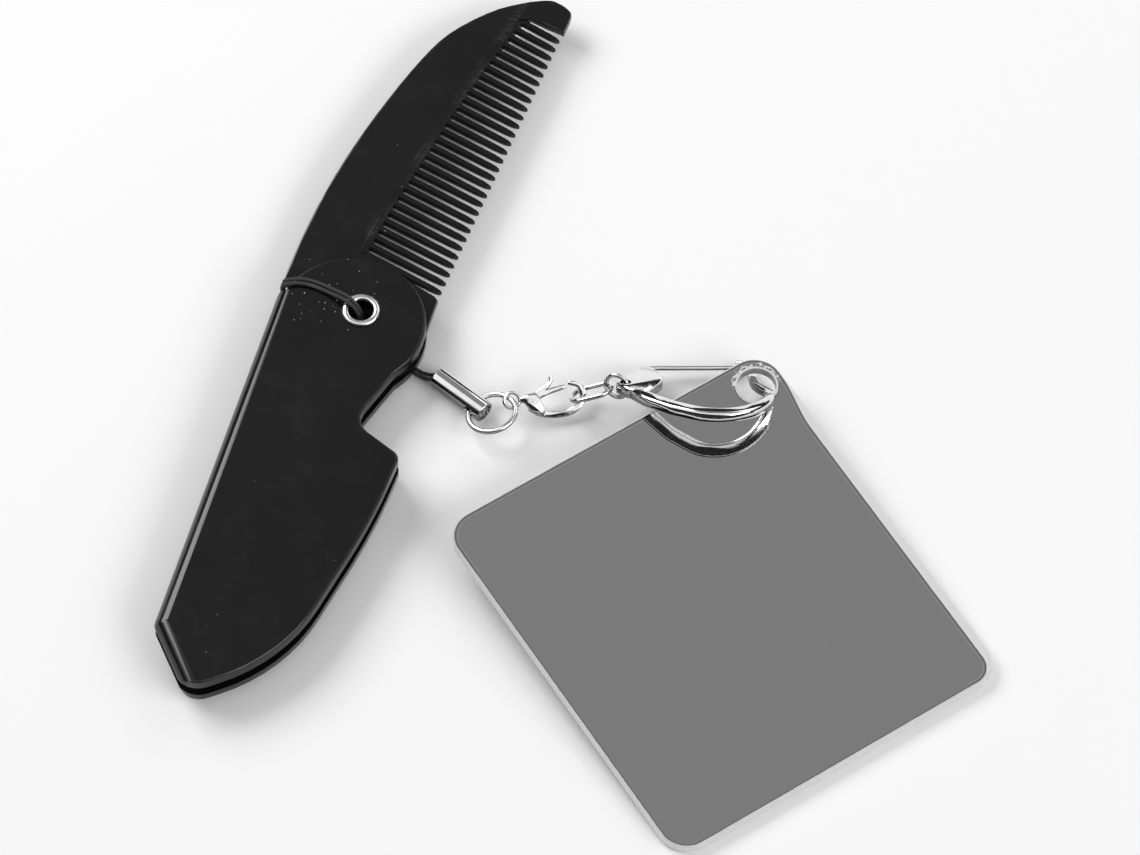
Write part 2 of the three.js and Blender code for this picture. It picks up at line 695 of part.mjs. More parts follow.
// Shares of the clip's length and height, from the left end of the gate, and of the bar's width.
const bowShares = [
  [-0.09, 0.51, 0.9], [-0.015, 0.65, 1], [0.062, 0.748, 1], [0.135, 0.835, 1], [0.212, 0.897, 1],
  [0.327, 0.979, 1], [0.45, 1, 1], [0.573, 0.969, 0.98], [0.677, 0.887, 0.94], [0.757, 0.765, 0.84],
  [0.79, 0.63, 0.6],
];
const hookShares = [
  [0.775, 0.7, 1.2], [0.792, 0.61, 1.05], [0.775, 0.53, 0.95], [0.738, 0.46, 0.9], [0.71, 0.385, 0.9],
  [0.7, 0.3, 0.95], [0.7, 0.2, 1], [0.698, 0.1, 1], [0.682, -0.005, 0.9], [0.65, -0.06, 0.7], [0.608, -0.078, 0.55],
];
const clipHeelShares = [
  [-0.215, 0.41, 0.05], [-0.1, 0.15, 0.03], [-0.08, 0.05, 0.02], [0.035, 0.05, 0.02], [0.112, 0.25, 0.04],
  [0.1, 0.36, 0.03], [-0.02, 0.64, 0], [-0.15, 0.52, 0.04],
];
const clipEyeShares = [-0.143, 0.412];
const gatePivotShares = [-0.038, 0.119];
const crossingShares = [0.74, 0.39];
const heelThick = gateSlot + 2 * clipCheek;
const clipEye = [clipX(clipEyeShares[0]), clipY(clipEyeShares[1])];
const gatePivot = [clipX(gatePivotShares[0]), clipY(gatePivotShares[1])];
const endBarReach = (clipEyeHole + clipEyeWall) / 2;
const endBar = [
  clipEye[0] - endBarReach * Math.cos(rad(endBarTurn)),
  clipEye[1] - endBarReach * Math.sin(rad(endBarTurn)),
];
const ringEnd = at(smallPose, ringToBarDistance, 0);
const clipTurn = pose(new THREE.Vector3(), clipYaw, clipPitch, clipRoll);
const clipPose = pose(ringEnd.sub(at(clipTurn, ...endBar)), clipYaw, clipPitch, clipRoll);
const gateRun = new THREE.Shape([
  [clipX(-0.12), -clipHeight], [clipX(0.08), -clipHeight], [clipX(0.08), clipY(0.17)], [clipX(-0.12), clipY(0.17)],
].map(([x, y]) => new THREE.Vector2(x, y)));
const clipBody = join(
  slab(clipRibbon(bowShares, clipBarWidth, 28), -clipBarThick / 2, clipBarThick / 2, { rim: clipBarRound, steps: 2 }),
  slab(clipRibbon(hookShares, hookEndWidth, 22), -hookEndThick / 2, hookEndThick / 2, { rim: clipRound, steps: 2 }),
  slab(
    filleted(clipHeelShares.map(([x, y, r]) => [clipX(x), clipY(y), r * clipLength])),
    -heelThick / 2,
    heelThick / 2,
    { rim: clipRound, steps: 1, arc: 2 },
  ),
)
  .subtract(slab(gateRun, -gateSlot / 2, gateSlot / 2))
  .subtract(moved(
    drum(clipEyeHole / 2, -heelThick, heelThick, 20),
    new THREE.Matrix4().makeTranslation(...clipEye, 0),
  ))
  .subtract(moved(
    drum(gateWire / 2 + gateGap, 0, heelThick, 16),
    new THREE.Matrix4().makeTranslation(...gatePivot, 0),
  ));
addPiece('clip_body', clipBody, 'chrome', clipPose);

const [pivotX, pivotY] = gatePivot;
const gateRoute = [
  [clipX(0.63), 0, 0], [clipX(0.45), 0, 0], [clipX(0.2), 0, 0], [clipX(0.03), 0, 0],
  [pivotX * 0.5, pivotY * 0.1, 0], [pivotX * 0.95, pivotY * 0.4, 0], [pivotX, pivotY - 0.65 * gateWire, 0],
  [pivotX, pivotY - 0.15 * gateWire, 0.15 * gateWire], [pivotX, pivotY, 0.6 * gateWire],
  [pivotX, pivotY, heelThick / 2],
];
addPiece('clip_gate', wire(gateRoute, gateWire, 2), 'chrome', clipPose);

// Mirror.
const crossing = at(clipPose, clipX(crossingShares[0]), clipY(crossingShares[1]));
const mirrorPitch = -Math.asin((crossing.z - mirrorThick / 2) / (mirrorLength - holeInsetLong));
const mirrorTurn = pose(new THREE.Vector3(), mirrorYaw, THREE.MathUtils.radToDeg(mirrorPitch));
const mirrorPose = pose(
  crossing.clone().sub(at(mirrorTurn, holeInsetLong, hookOffCentre - holeInsetWide, mirrorThick / 2)),
  mirrorYaw,
  THREE.MathUtils.radToDeg(mirrorPitch),
);
const sheet = slab(filleted([
  [0, 0, mirrorCorner],
  [0, -mirrorWidth, mirrorCorner],
  [mirrorLength, -mirrorWidth, mirrorCorner],
  [mirrorLength, 0, mirrorCorner],
]), 0, mirrorThick, { rim: mirrorEdgeRound, steps: 1, arc: 4 });
const mirrorDrill = moved(
  drum(mirrorHole / 2, -mirrorThick, 2 * mirrorThick, 32),
  new THREE.Matrix4().makeTranslation(holeInsetLong, -holeInsetWide, 0),
);
addPiece('mirror_plate', sheet.subtract(mirrorDrill), 'mirror', mirrorPose);

// Origin at the middle of the foot of the whole set.
model.updateMatrixWorld(true);
const box = new THREE.Box3().setFromObject(model, true);
const middle = box.getCenter(new THREE.Vector3());
model.position.set(-middle.x, -middle.y, -box.min.z);

export default model;
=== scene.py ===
"""Looks of the pocket mirror comb: glossy black comb and case, braided cord, chromed chain and clip,
and a silvered acrylic mirror, lying on a white table. Lengths are metres, angles degrees."""

from math import cos, pi, radians, sin

import bpy
import numpy as np
from mathutils import Matrix, Vector


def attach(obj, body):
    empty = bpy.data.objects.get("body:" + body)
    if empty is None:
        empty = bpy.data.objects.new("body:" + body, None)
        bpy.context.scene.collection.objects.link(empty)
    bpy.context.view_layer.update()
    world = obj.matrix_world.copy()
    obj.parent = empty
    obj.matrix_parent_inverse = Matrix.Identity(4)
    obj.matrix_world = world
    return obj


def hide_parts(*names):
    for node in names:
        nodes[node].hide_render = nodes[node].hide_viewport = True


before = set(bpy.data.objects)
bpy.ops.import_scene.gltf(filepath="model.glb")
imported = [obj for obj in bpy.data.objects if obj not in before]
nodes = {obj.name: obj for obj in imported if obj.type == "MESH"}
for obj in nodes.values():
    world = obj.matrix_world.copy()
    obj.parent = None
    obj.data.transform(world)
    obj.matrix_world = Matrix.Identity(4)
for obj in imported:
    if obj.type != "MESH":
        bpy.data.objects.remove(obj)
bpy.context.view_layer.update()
scene = bpy.context.scene
MM = 0.001

# Where the pivot of the comb lies on the table. The camera, the cord and the wear are placed from it.
PIVOT = Vector((-52.381, 4.2496, 0)) * MM


def put(name, data):
    """A new object in the scene."""
    made = bpy.data.objects.new(name, data)
    scene.collection.objects.link(made)
    return made


def level(angle):
    """A level direction, at an angle from x."""
    return Vector((cos(radians(angle)), sin(radians(angle)), 0))


# Camera
CAMERA_FROM_PIVOT = Vector((202.886, -570.621, 937.468)) * MM
CAMERA_TILT = 32.0  # from straight down
CAMERA_TURN = 16.2
LENS = 205.26
SENSOR = 36
NEAREST = 0.05
FARTHEST = 20

eye = bpy.data.cameras.new("eye")
eye.lens = LENS
eye.sensor_width = SENSOR
eye.clip_start, eye.clip_end = NEAREST, FARTHEST
camera = put("camera", eye)
camera.location = PIVOT + CAMERA_FROM_PIVOT
camera.rotation_euler = (radians(CAMERA_TILT), 0, radians(CAMERA_TURN))
scene.camera = camera

# Cord: x, y, z and half the spacing of its two strands, in millimetres from the pivot. It comes from
# the side of the ferrule under the case, goes up the eyelet, over the case, round its spine, and back
# under it to a bight in the eyelet.
LOOP_ROUTE = [
    (12.05, -5.15, 0.36, 0.45), (9.5, -4.25, 0.36, 0.45), (7, -3.2, 0.36, 0.45),
    (4.5, -2.05, 0.36, 0.45), (2.8, -1.2, 0.37, 0.44), (1.6, -0.6, 0.5, 0.42),
    (0.8, -0.25, 1, 0.42), (0.3, -0.05, 2, 0.42), (0.1, 0, 3.5, 0.42),
    (-0.1, 0.05, 5.2, 0.42), (-0.45, 0.15, 6.8, 0.42), (-1.1, 0.35, 7.95, 0.42),
    (-2.2, 0.75, 8.62, 0.43), (-3.6, 1.25, 8.64, 0.45), (-5.2, 1.8, 8.3, 0.45),
    (-7.3, 2.4, 8, 0.45), (-9.6, 2.75, 7.98, 0.45), (-11.8, 2.6, 7.98, 0.45),
    (-13.4, 2.05, 8, 0.45), (-14.25, 1.8, 7.7, 0.45), (-14.55, 1.7, 6.9, 0.45),
    (-14.55, 1.65, 5.2, 0.45), (-14.55, 1.6, 3.4, 0.45), (-14.55, 1.6, 1.6, 0.45),
    (-14.2, 1.6, 0.7, 0.45), (-13.4, 1.55, 0.36, 0.45), (-11.5, 1.35, 0.36, 0.45),
    (-9, 1.1, 0.36, 0.45), (-6.5, 0.8, 0.36, 0.5), (-4.2, 0.5, 0.36, 0.7),
    (-2.6, 0.25, 0.38, 0.93), (-1.75, 0.1, 0.5, 1), (-1.05, 0, 1.05, 1.1),
    (-0.5, 0, 1.65, 1.3), (0.2, 0, 1.95, 1.35), (0.9, 0, 2, 1), (1.28, 0, 2, 0.5),
]
BIGHT = (1.4, 0, 2)
CORD_DIAMETER = 0.7 * MM
CORD_LIE = 0.36 * MM  # height of its middle where it lies on the table
HALF_SPACING = 0.45 * MM
BRAID_PITCH = 0.42 * MM
STITCHES_ROUND = 5

# The cord's ends, from where they leave the case to the knot in the ferrule
EXIT = Vector((12.2428, -5.1967, 0.36)) * MM
EXIT_YAW = -10.5
EXIT_OVERLAP = 0.15 * MM
EXIT_TO_FERRULE = 2.9 * MM
FERRULE_YAW = -25
FERRULE_DIAMETER = 3.8 * MM
JUST_INSIDE = 0.55 * MM  # past the ferrule's mouth
KNOT_FROM_MOUTH = 2.3 * MM
KNOT_DIAMETER = 2.2 * MM
KNOT_TURNS = 3
KNOT_STEPS = 60
LIFTS = ((0, 0), (0.3, 0.09), (0.72, 0.52), (1, 0.92))  # share of the way, share of the rise


# Node trees
def math_method(operation, flipped=False):
    """A method of Link that adds one Math node. Flipped, the link is the second of the two values."""

    def method(self, other=0):
        first, second = (other, self) if flipped else (self, other)
        return self.tree.math(operation, first, second)

    return method


class Link:
    """A socket that a node puts out. Sums, products and comparisons of these add the Math nodes."""

    def __init__(self, tree, socket):
        self.tree, self.socket = tree, socket

    __add__ = math_method("ADD")
    __radd__ = math_method("ADD", flipped=True)
    __sub__ = math_method("SUBTRACT")
    __rsub__ = math_method("SUBTRACT", flipped=True)
    __mul__ = math_method("MULTIPLY")
    __rmul__ = math_method("MULTIPLY", flipped=True)
    __truediv__ = math_method("DIVIDE")
    __pow__ = math_method("POWER")
    __gt__ = math_method("GREATER_THAN")
    __abs__ = math_method("ABSOLUTE")


class Node:
    """A node whose outputs are reached by name or number."""

    def __init__(self, tree, node):
        self.tree, self.node = tree, node

    def __getitem__(self, key):
        if isinstance(key, str):
            for output in self.node.outputs:
                if output.name == key and output.enabled:
                    return Link(self.tree, output)
        return Link(self.tree, self.node.outputs[key])


class Tree:
    """Builds shader and geometry nodes."""

    def __init__(self, tree):
        self.tree = tree

    def give(self, socket, value):
        """Links the socket to a Link, or sets it to any other value."""
        if isinstance(value, Link):
            self.tree.links.new(value.socket, socket)
        else:
            socket.default_value = value

    def node(self, kind, settings=None, inputs=None):
        made = self.tree.nodes.new(kind)
        for name, value in (settings or {}).items():
            setattr(made, name, value)
        for key, value in (inputs or {}).items():
            socket = made.inputs[key]
            if isinstance(key, str):
                socket = next(s for s in made.inputs if s.name == key and s.enabled)
            self.give(socket, value)
        return Node(self, made)

    def math(self, operation, a, b=0):
        return self.node("ShaderNodeMath", {"operation": operation}, {0: a, 1: b})[0]

    def least(self, a, b):
        return self.math("MINIMUM", a, b)

    def most(self, a, b):
        return self.math("MAXIMUM", a, b)

    def vector_math(self, operation, a, b):
        return self.node("ShaderNodeVectorMath", {"operation": operation}, {0: a, 1: b})

    def vector(self, x=0.0, y=0.0, z=0.0):
        return self.node("ShaderNodeCombineXYZ", {}, {0: x, 1: y, 2: z})[0]

    def axes(self, vector):
        """The X, Y and Z of a vector, by those names."""
        return self.node("ShaderNodeSeparateXYZ", {}, {0: vector})

    def step(self, value, low, high):
        """0 below low, 1 above high, smooth between them."""
        return self.node(
            "ShaderNodeMapRange", {"interpolation_type": "SMOOTHSTEP"},
            {"Value": value, "From Min": low, "From Max": high, "To Min": 0.0, "To Max": 1.0},
        )[0]

    def blend(self, share, a, b):
        """Colour a where share is 0, colour b where it is 1."""
        mixed = self.tree.nodes.new("ShaderNodeMix")
        mixed.data_type = "RGBA"
        for socket, value in zip((mixed.inputs[0], mixed.inputs[6], mixed.inputs[7]), (share, a, b)):
            self.give(socket, value)
        return Link(self, mixed.outputs[2])

    def clouds(self, where, size, detail=3.0, distortion=0.0):
        """Soft noise with features of about `size` metres."""
        return self.node(
            "ShaderNodeTexNoise", {},
            {"Vector": where, "Scale": 1 / size, "Detail": detail, "Distortion": distortion},
        )[0]

    def cells(self, where, size):
        """How far it is to the nearest of some scattered spots, as a share of `size` metres."""
        return self.node("ShaderNodeTexVoronoi", {}, {"Vector": where, "Scale": 1 / size})["Distance"]

    def streaks(self, where, turn_z, sizes, low, high, detail=2.0):
        """Noise drawn out along one way, 0 where it is below low and 1 above high."""
        drawn = self.node(
            "ShaderNodeMapping", {},
            {"Vector": where, "Rotation": (0, 0, radians(turn_z)), "Scale": tuple(1 / s for s in sizes)},
        )[0]
        return self.step(self.clouds(drawn, 1, detail), low, high)

    def relief(self, height, depth, strength=1.0):
        return self.node("ShaderNodeBump", {}, {"Height": height, "Strength": strength, "Distance": depth})[0]


def grey(value, tint=(1, 1, 1)):
    return (value * tint[0], value * tint[1], value * tint[2], 1)


def new_material(name):
    material = bpy.data.materials.new(name)
    material.use_nodes = True
    return material, Tree(material.node_tree)


def feed(material, tree, **values):
    """Sets or links the sockets of the material's shader. Underscores in a name stand for spaces."""
    shader = material.node_tree.nodes["Principled BSDF"]
    for name, value in values.items():
        tree.give(shader.inputs[name.replace("_", " ")], value)
    return material


# Black plastic
PLASTIC = 0.0055
SCRATCHED_PLASTIC = 0.05
DUST = 0.45
PLASTIC_ROUGHNESS = 0.15
ORANGE_PEEL = 0.004 * MM
DUSTY_SPOT = PIVOT + Vector((-7, 2.4, 7)) * MM
ROOT_LINE_START = PIVOT + Vector((-4.02, 12.11, 0)) * MM  # the line that the teeth spring from
ROOT_LINE_NORMAL = Vector((-0.9769, 0.2136, 0))


def worn_roots(tree, where):
    """Patches rubbed dull beside the roots of the teeth."""
    offset = tree.vector_math("SUBTRACT", where, ROOT_LINE_START)[0]
    across = tree.vector_math("DOT_PRODUCT", offset, ROOT_LINE_NORMAL)["Value"]
    beside = tree.step(across, 0.0, 0.3 * MM) * tree.step(across, 2.4 * MM, 0.4 * MM)
    patches = tree.step(tree.clouds(where, 9 * MM, 3.0), 0.42, 0.6)
    grain = tree.streaks(where, 12, (1.6 * MM, 0.14 * MM, 1 * MM), 0.42, 0.6, detail=3.0)
    return beside * patches * grain


def moulded_plastic(name, scratch_turn, worn=None):
    """Glossy black plastic with faint scratches, a little dust, and lint near the cord."""
    material, tree = new_material(name)
    where = tree.node("ShaderNodeTexCoord")["Object"]
    clouds = tree.clouds(where, 14 * MM, 2.0)
    handling = tree.step(tree.clouds(where, 5 * MM, 5.0, 0.6), 0.45, 0.75)
    scratches = tree.streaks(where, scratch_turn, (9 * MM, 0.12 * MM, 3 * MM), 0.7, 0.77)
    peel = tree.clouds(where, 1.1 * MM, 1.0)

    sprinkle = tree.step(tree.clouds(where, 7 * MM, 2.0), 0.54, 0.66)
    motes = tree.step(tree.cells(where, 2.6 * MM), 0.055, 0.03) * sprinkle * 0.5
    near_cord = tree.step(tree.vector_math("DISTANCE", where, DUSTY_SPOT)["Value"], 11 * MM, 5 * MM)
    stray = tree.step(tree.clouds(where, 1.4 * MM, 1.0), 0.5, 0.56)
    lint = tree.step(tree.cells(where, 0.9 * MM), 0.16, 0.1) * near_cord * stray
    dust = motes + lint

    colour = tree.blend(dust, grey(PLASTIC), grey(DUST))
    colour = tree.blend(scratches * 0.04, colour, grey(SCRATCHED_PLASTIC))
    if worn:
        colour = tree.blend(worn(tree, where) * 0.7, colour, grey(SCRATCHED_PLASTIC))
    height = peel * 0.7 - scratches * 0.08 + dust * 2.0
    return feed(
        material, tree,
        Base_Color=colour,
        Roughness=PLASTIC_ROUGHNESS + clouds * 0.06 + handling * 0.06 + scratches * 0.06 + dust * 0.4,
        IOR=1.5,
        Normal=tree.relief(height, ORANGE_PEEL, 0.5),
    )


# Plated metal
CHROME = grey(0.85, (1, 1, 1.005))
SMEARED_CHROME = grey(0.76, (1, 0.99, 0.97))
CHROME_PIT = grey(0.3)
# Painted shade for the flanks of plated metal
PAINTED_FLANK_SHADE = grey(0.08)


def chrome(name, depth=0.006, dullness=0.045):
    """Plated metal with painted shade on its flanks, where it faces sideways. Depth is that of the waves in
    it, in millimetres.
    """
    material, tree = new_material(name)
    place = tree.node("ShaderNodeTexCoord")
    where = place["Object"]
    facing_up = tree.axes(place["Normal"])["Z"]
    # Painted shade: the metal is darkened where its surface faces sideways.
    flank_shade = tree.step(facing_up, 0.55, 0.3) * tree.step(facing_up, -0.55, -0.25)
    smears = tree.step(tree.clouds(where, 2.4 * MM, 4.0, 0.4), 0.4, 0.75)
    hairlines = tree.streaks(where, 33, (2.5 * MM, 0.07 * MM, 2 * MM), 0.62, 0.7)
    waves = tree.clouds(where, 1.6 * MM, 2.0)
    pits = tree.step(tree.cells(where, 1.1 * MM), 0.06, 0.03)
    colour = tree.blend(smears * 0.5, CHROME, SMEARED_CHROME)
    colour = tree.blend(pits * 0.6, colour, CHROME_PIT)
    colour = tree.blend(flank_shade * 0.85, colour, PAINTED_FLANK_SHADE)
    height = waves - (hairlines * 0.001 + pits * 0.004) * (1 / depth)
    return feed(
        material, tree,
        Base_Color=colour,
        Metallic=1.0,
        Roughness=dullness + smears * 0.06 + hairlines * 0.12,
        Normal=tree.relief(height, depth * MM),
    )


# Mirror: its corner on the table's axes, its turns, and its own sizes
MIRROR_ORIGIN = Vector((15.322, 16.372, 4.912)) * MM
MIRROR_TURN = (0, radians(3.926), radians(-40.7))
MIRROR_LENGTH = 71.7 * MM
MIRROR_WIDTH = 64.9 * MM
MIRROR_CORNER = 5 * MM
SILVER_CORNER = 3.6 * MM  # where the clear strip ends beside a corner
HOLE_CENTRE = (5.3 * MM, -4.85 * MM)
HOLE_RADIUS = 3.4 * MM
CLEAR_MARGIN = 1.35 * MM  # strip beside one edge that the silver doesn't reach
HIGHLIGHT_LINE_DEPTH = 0.8 * MM  # a painted highlight line lies this far in, along the two upper edges
SILVER = grey(0.8, (1, 1, 1.004))
SMEARED_SILVER = grey(0.77)
SHADE_BAND_GREY = grey(0.4)  # painted shade on the strip between the highlight line and the edge
# Painted highlight along the line near the two upper edges
PAINTED_HIGHLIGHT = grey(1.6)
DARK_LINE = grey(0.3)
GRIME = grey(0.25)
CLEAR_EDGE = grey(0.72, (0.99, 1, 0.997))
# Painted shade on the wall of the hole
HOLE_WALL_SHADE = grey(0.3)
BACK_PAINT = (grey(0.2), grey(0.26))


def rounded_inset(tree, a, b, corner):
    """Distance in from two straight edges that meet in a rounded corner."""
    left_a, left_b = tree.most(corner - a, 0), tree.most(corner - b, 0)
    return corner - (left_a * left_a + left_b * left_b) ** 0.5


def on_mirror(tree, where):
    """A point's place on the mirror's own axes: along it, across it and up from its back."""
    own = tree.node(
        "ShaderNodeMapping", {"vector_type": "TEXTURE"},
        {"Vector": where, "Location": MIRROR_ORIGIN, "Rotation": MIRROR_TURN},
    )[0]
    axis = tree.axes(own)
    return axis["X"], axis["Y"], axis["Z"]


def silver_inset(tree, long, wide):
    """Distance in from the outline of the silver."""
    ends = tree.least(long, MIRROR_LENGTH - long)
    sides = tree.least(0 - wide, MIRROR_WIDTH + wide)
    margin = tree.step(long, 6 * MM, 17 * MM) * CLEAR_MARGIN
    plate_inset = rounded_inset(tree, ends, sides, MIRROR_CORNER)
    return tree.least(plate_inset, rounded_inset(tree, ends, 0 - wide - margin, SILVER_CORNER))


def chips_round_hole(tree, where, wobble, dx, dy, from_hole):
    """Where the silver is chipped away round the hole, on the side of the mirror's corner."""
    chips = tree.step(tree.clouds(where, 0.5 * MM, 2.0), 0.46, 0.56)
    towards_corner = tree.step(dy * 0.3 - dx * 0.9, -0.5 * MM, 1.2 * MM)
    ring = tree.step(from_hole + wobble * (1.6 * MM), 0.95 * MM, 0.75 * MM)
    return chips * towards_corner * ring


def lined_silver(tree, where, silver, upper, inset, rim):
    """The silver with the lines that follow its outline: a painted highlight line and a band of painted shade
    beside the two upper edges, and a dark line.
    """
    # Painted highlight line and painted shade band, along the two upper edges only.
    painted_highlight_line = tree.step(abs(inset - HIGHLIGHT_LINE_DEPTH), 0.13 * MM, 0.05 * MM) * upper
    painted_shade_band = tree.step(inset, HIGHLIGHT_LINE_DEPTH, 0.7 * MM) * upper
    dark_line = tree.step(abs(rim - 0.42 * MM), 0.12 * MM, 0.04 * MM)
    glint = 0.35 + 0.5 * tree.clouds(where, 1.5 * MM, 3.0)
    silver = tree.blend(painted_shade_band * 0.35, silver, SHADE_BAND_GREY)
    silver = tree.blend(painted_highlight_line * glint, silver, PAINTED_HIGHLIGHT)
    return tree.blend(dark_line * 0.55, silver, DARK_LINE)


def silvered_mirror(name):
    """Clear acrylic over silver, with a painted back."""
    material, tree = new_material(name)
    where = tree.node("ShaderNodeTexCoord")["Object"]
    long, wide, high = on_mirror(tree, where)
    front = tree.step(high, 1.55 * MM, 1.8 * MM)
    back = tree.step(high, 0.05 * MM, 0.02 * MM)
    inset = silver_inset(tree, long, wide)
    dx, dy = long - HOLE_CENTRE[0], wide - HOLE_CENTRE[1]
    from_hole = (dx * dx + dy * dy) ** 0.5 - HOLE_RADIUS
    rim = tree.least(inset, from_hole)

    # The silver stops just short of the edge, and is chipped round the hole.
    wobble = tree.clouds(where, 1.3 * MM, 4.0) - 0.5
    bare_edge = tree.step(rim + wobble * (0.12 * MM), 0.32 * MM, 0.24 * MM)
    chipped = chips_round_hole(tree, where, wobble, dx, dy, from_hole)
    bare = tree.most(tree.most(bare_edge, chipped), 1 - front)

    smears = tree.step(tree.clouds(where, 16 * MM, 4.0, 0.8), 0.4, 0.8)
    hairlines = tree.streaks(where, 62, (14 * MM, 0.06 * MM, 3 * MM), 0.68, 0.74)
    grime = tree.step(tree.cells(where, 4.3 * MM), 0.03, 0.018)
    upper = tree.most(tree.step(long, 12 * MM, 8 * MM), tree.step(0 - wide, 8 * MM, 4 * MM))
    silver = tree.blend(smears * 0.35, SILVER, SMEARED_SILVER)
    silver = lined_silver(tree, where, silver, upper, inset, rim)
    silver = tree.blend(grime * 0.7, silver, GRIME)
    # Painted shade inside the hole: its wall is darker than the plate's outer edges.
    shaded_hole_wall = tree.step(from_hole, 0.1 * MM, 0.03 * MM) * (1 - front)
    clear = tree.blend(shaded_hole_wall, CLEAR_EDGE, HOLE_WALL_SHADE)
    paint = tree.blend(tree.clouds(where, 0.4 * MM, 4.0), *BACK_PAINT)
    worn_roughness = smears * 0.03 + hairlines * 0.08 + bare * 0.12 + grime * 0.3 + back * 0.3
    height = tree.clouds(where, 9 * MM, 1.0) - hairlines * 0.05 - chipped
    return feed(
        material, tree,
        Base_Color=tree.blend(back, tree.blend(bare, silver, clear), paint),
        Metallic=(1 - bare) * (1 - back),
        Roughness=0.015 + worn_roughness,
        Normal=tree.relief(height, 0.006 * MM, 0.3),
    )


def braided_cord(name):
    """Black fibre, worn paler in places."""
    material, tree = new_material(name)
    where = tree.node("ShaderNodeTexCoord")["Object"]
    fibres = tree.clouds(where, 0.06 * MM, 3.0)
    worn = tree.step(tree.clouds(where, 3 * MM, 3.0), 0.5, 0.8)
    fluff = tree.step(tree.clouds(where, 0.16 * MM, 2.0), 0.66, 0.74)
    colour = tree.blend(fibres, grey(0.02), grey(0.09))
    return feed(
        material, tree,
        Base_Color=tree.blend(worn * 0.3 + fluff * 0.3, colour, grey(0.14)),
        Roughness=0.62 + fibres * 0.25,
        IOR=1.45,
        Normal=tree.relief(fibres, 0.02 * MM, 0.8),
    )


plastic_case = moulded_plastic("moulded_case_plastic", 68)
plastic_blade = moulded_plastic("moulded_blade_plastic", 24, worn_roots)
chain_chrome = chrome("plated_wire")
cast_chrome = chrome("plated_casting", depth=0.03)
rolled_chrome = chrome("plated_eyelet", depth=0.004, dullness=0.2)
mirror_face = silvered_mirror("silvered_acrylic")
cord_fibre = braided_cord("braided_fibre")


# Geometry node groups
def geometry_group(name, **given):
    """A geometry node group. Each given name is an input of that kind; underscores stand for spaces."""
    group = bpy.data.node_groups.new(name, "GeometryNodeTree")
    group.interface.new_socket("Geometry", in_out="INPUT", socket_type="NodeSocketGeometry")
    sockets = {}
    for label, kind in given.items():
        label = label.replace("_", " ")
        made = group.interface.new_socket(label, in_out="INPUT", socket_type="NodeSocket" + kind)
        sockets[label] = made.identifier
    group.interface.new_socket("Geometry", in_out="OUTPUT", socket_type="NodeSocketGeometry")
    tree = Tree(group)
    return group, sockets, tree, tree.node("NodeGroupInput")


def apply_group(piece, label, group, sockets, **values):
    """Adds the group to a piece as a modifier, with these values for its inputs."""
    modifier = piece.modifiers.new(label, "NODES")
    modifier.node_group = group
    for name, value in values.items():
        modifier[sockets[name.replace("_", " ")]] = value


def shade(tree, geometry, crease=None):
    """Smooth shading, apart from edges sharper than the crease angle."""
    smooth = tree.node("GeometryNodeSetShadeSmooth", {}, {"Geometry": geometry, "Shade Smooth": True})[0]
    if crease is None:
        return smooth
    angle = tree.node("GeometryNodeInputMeshEdgeAngle")["Unsigned Angle"]
    return tree.node(
        "GeometryNodeSetShadeSmooth", {"domain": "EDGE"},
        {"Geometry": smooth, "Selection": angle > crease, "Shade Smooth": False},
    )[0]


def swept(tree, line, sides, radius):
    """A round bar along a line, closed at its ends."""
    outline = tree.node("GeometryNodeCurvePrimitiveCircle", {}, {"Resolution": sides, "Radius": radius})[0]
    return tree.node(
        "GeometryNodeCurveToMesh", {}, {"Curve": line, "Profile Curve": outline, "Fill Caps": True}
    )[0]


def put_out(tree, geometry, material=None):
    """Ends the group, with the material on all of it where one is given."""
    if material is not None:
        geometry = tree.node(
            "GeometryNodeSetMaterial", {}, {"Geometry": geometry, "Material": material}
        )[0]
    tree.node("NodeGroupOutput", {}, {"Geometry": geometry})


def mesh_from(source, name):
    """The evaluated result of an object's modifiers as a plain mesh object at the origin."""
    bpy.context.view_layer.update()
    evaluated = source.evaluated_get(bpy.context.evaluated_depsgraph_get())
    data = bpy.data.meshes.new_from_object(evaluated)
    data.transform(source.matrix_world)
    data.name = name
    bpy.data.objects.remove(source)
    return put(name, data)


def stand_for(made, node, body):
    """The new piece takes a CAD node's place, on its body."""
    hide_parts(node)
    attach(made, body)


# Smooth shading of the CAD pieces
WELD = 0.002 * MM


def shading_group():
    """Joins the loose facets and rounds the shading between those that meet at a flat angle."""
    group, sockets, tree, given = geometry_group("facets_to_smooth", Crease_angle="Float")
    merged = tree.node(
        "GeometryNodeMergeByDistance", {}, {"Geometry": given["Geometry"], "Distance": WELD}
    )[0]
    put_out(tree, shade(tree, merged, given["Crease angle"]))
    return group, sockets


smoothing = shading_group()


def finish_node(name, material, crease, flat_faces=True):
    """Gives a CAD piece its material and shading. A casting, rounded all over, has no flat faces."""
    piece = nodes[name]
    piece.data.materials.clear()
    piece.data.materials.append(material)
    apply_group(piece, "facets", *smoothing, Crease_angle=radians(crease))
    if flat_faces:
        even = piece.modifiers.new("flat_faces_flat", "WEIGHTED_NORMAL")
        even.keep_sharp = True


# The braided cord
CORE_SHARE = 0.76  # of the cord's radius
SEAT_SHARE = 0.74
STITCH_DEPTH = 0.28
STITCH_WIDTH = 0.34
STITCH_LENGTH = 0.56  # of the pitch
STITCH_LEAN = 33
STEPS_BETWEEN_POINTS = 6


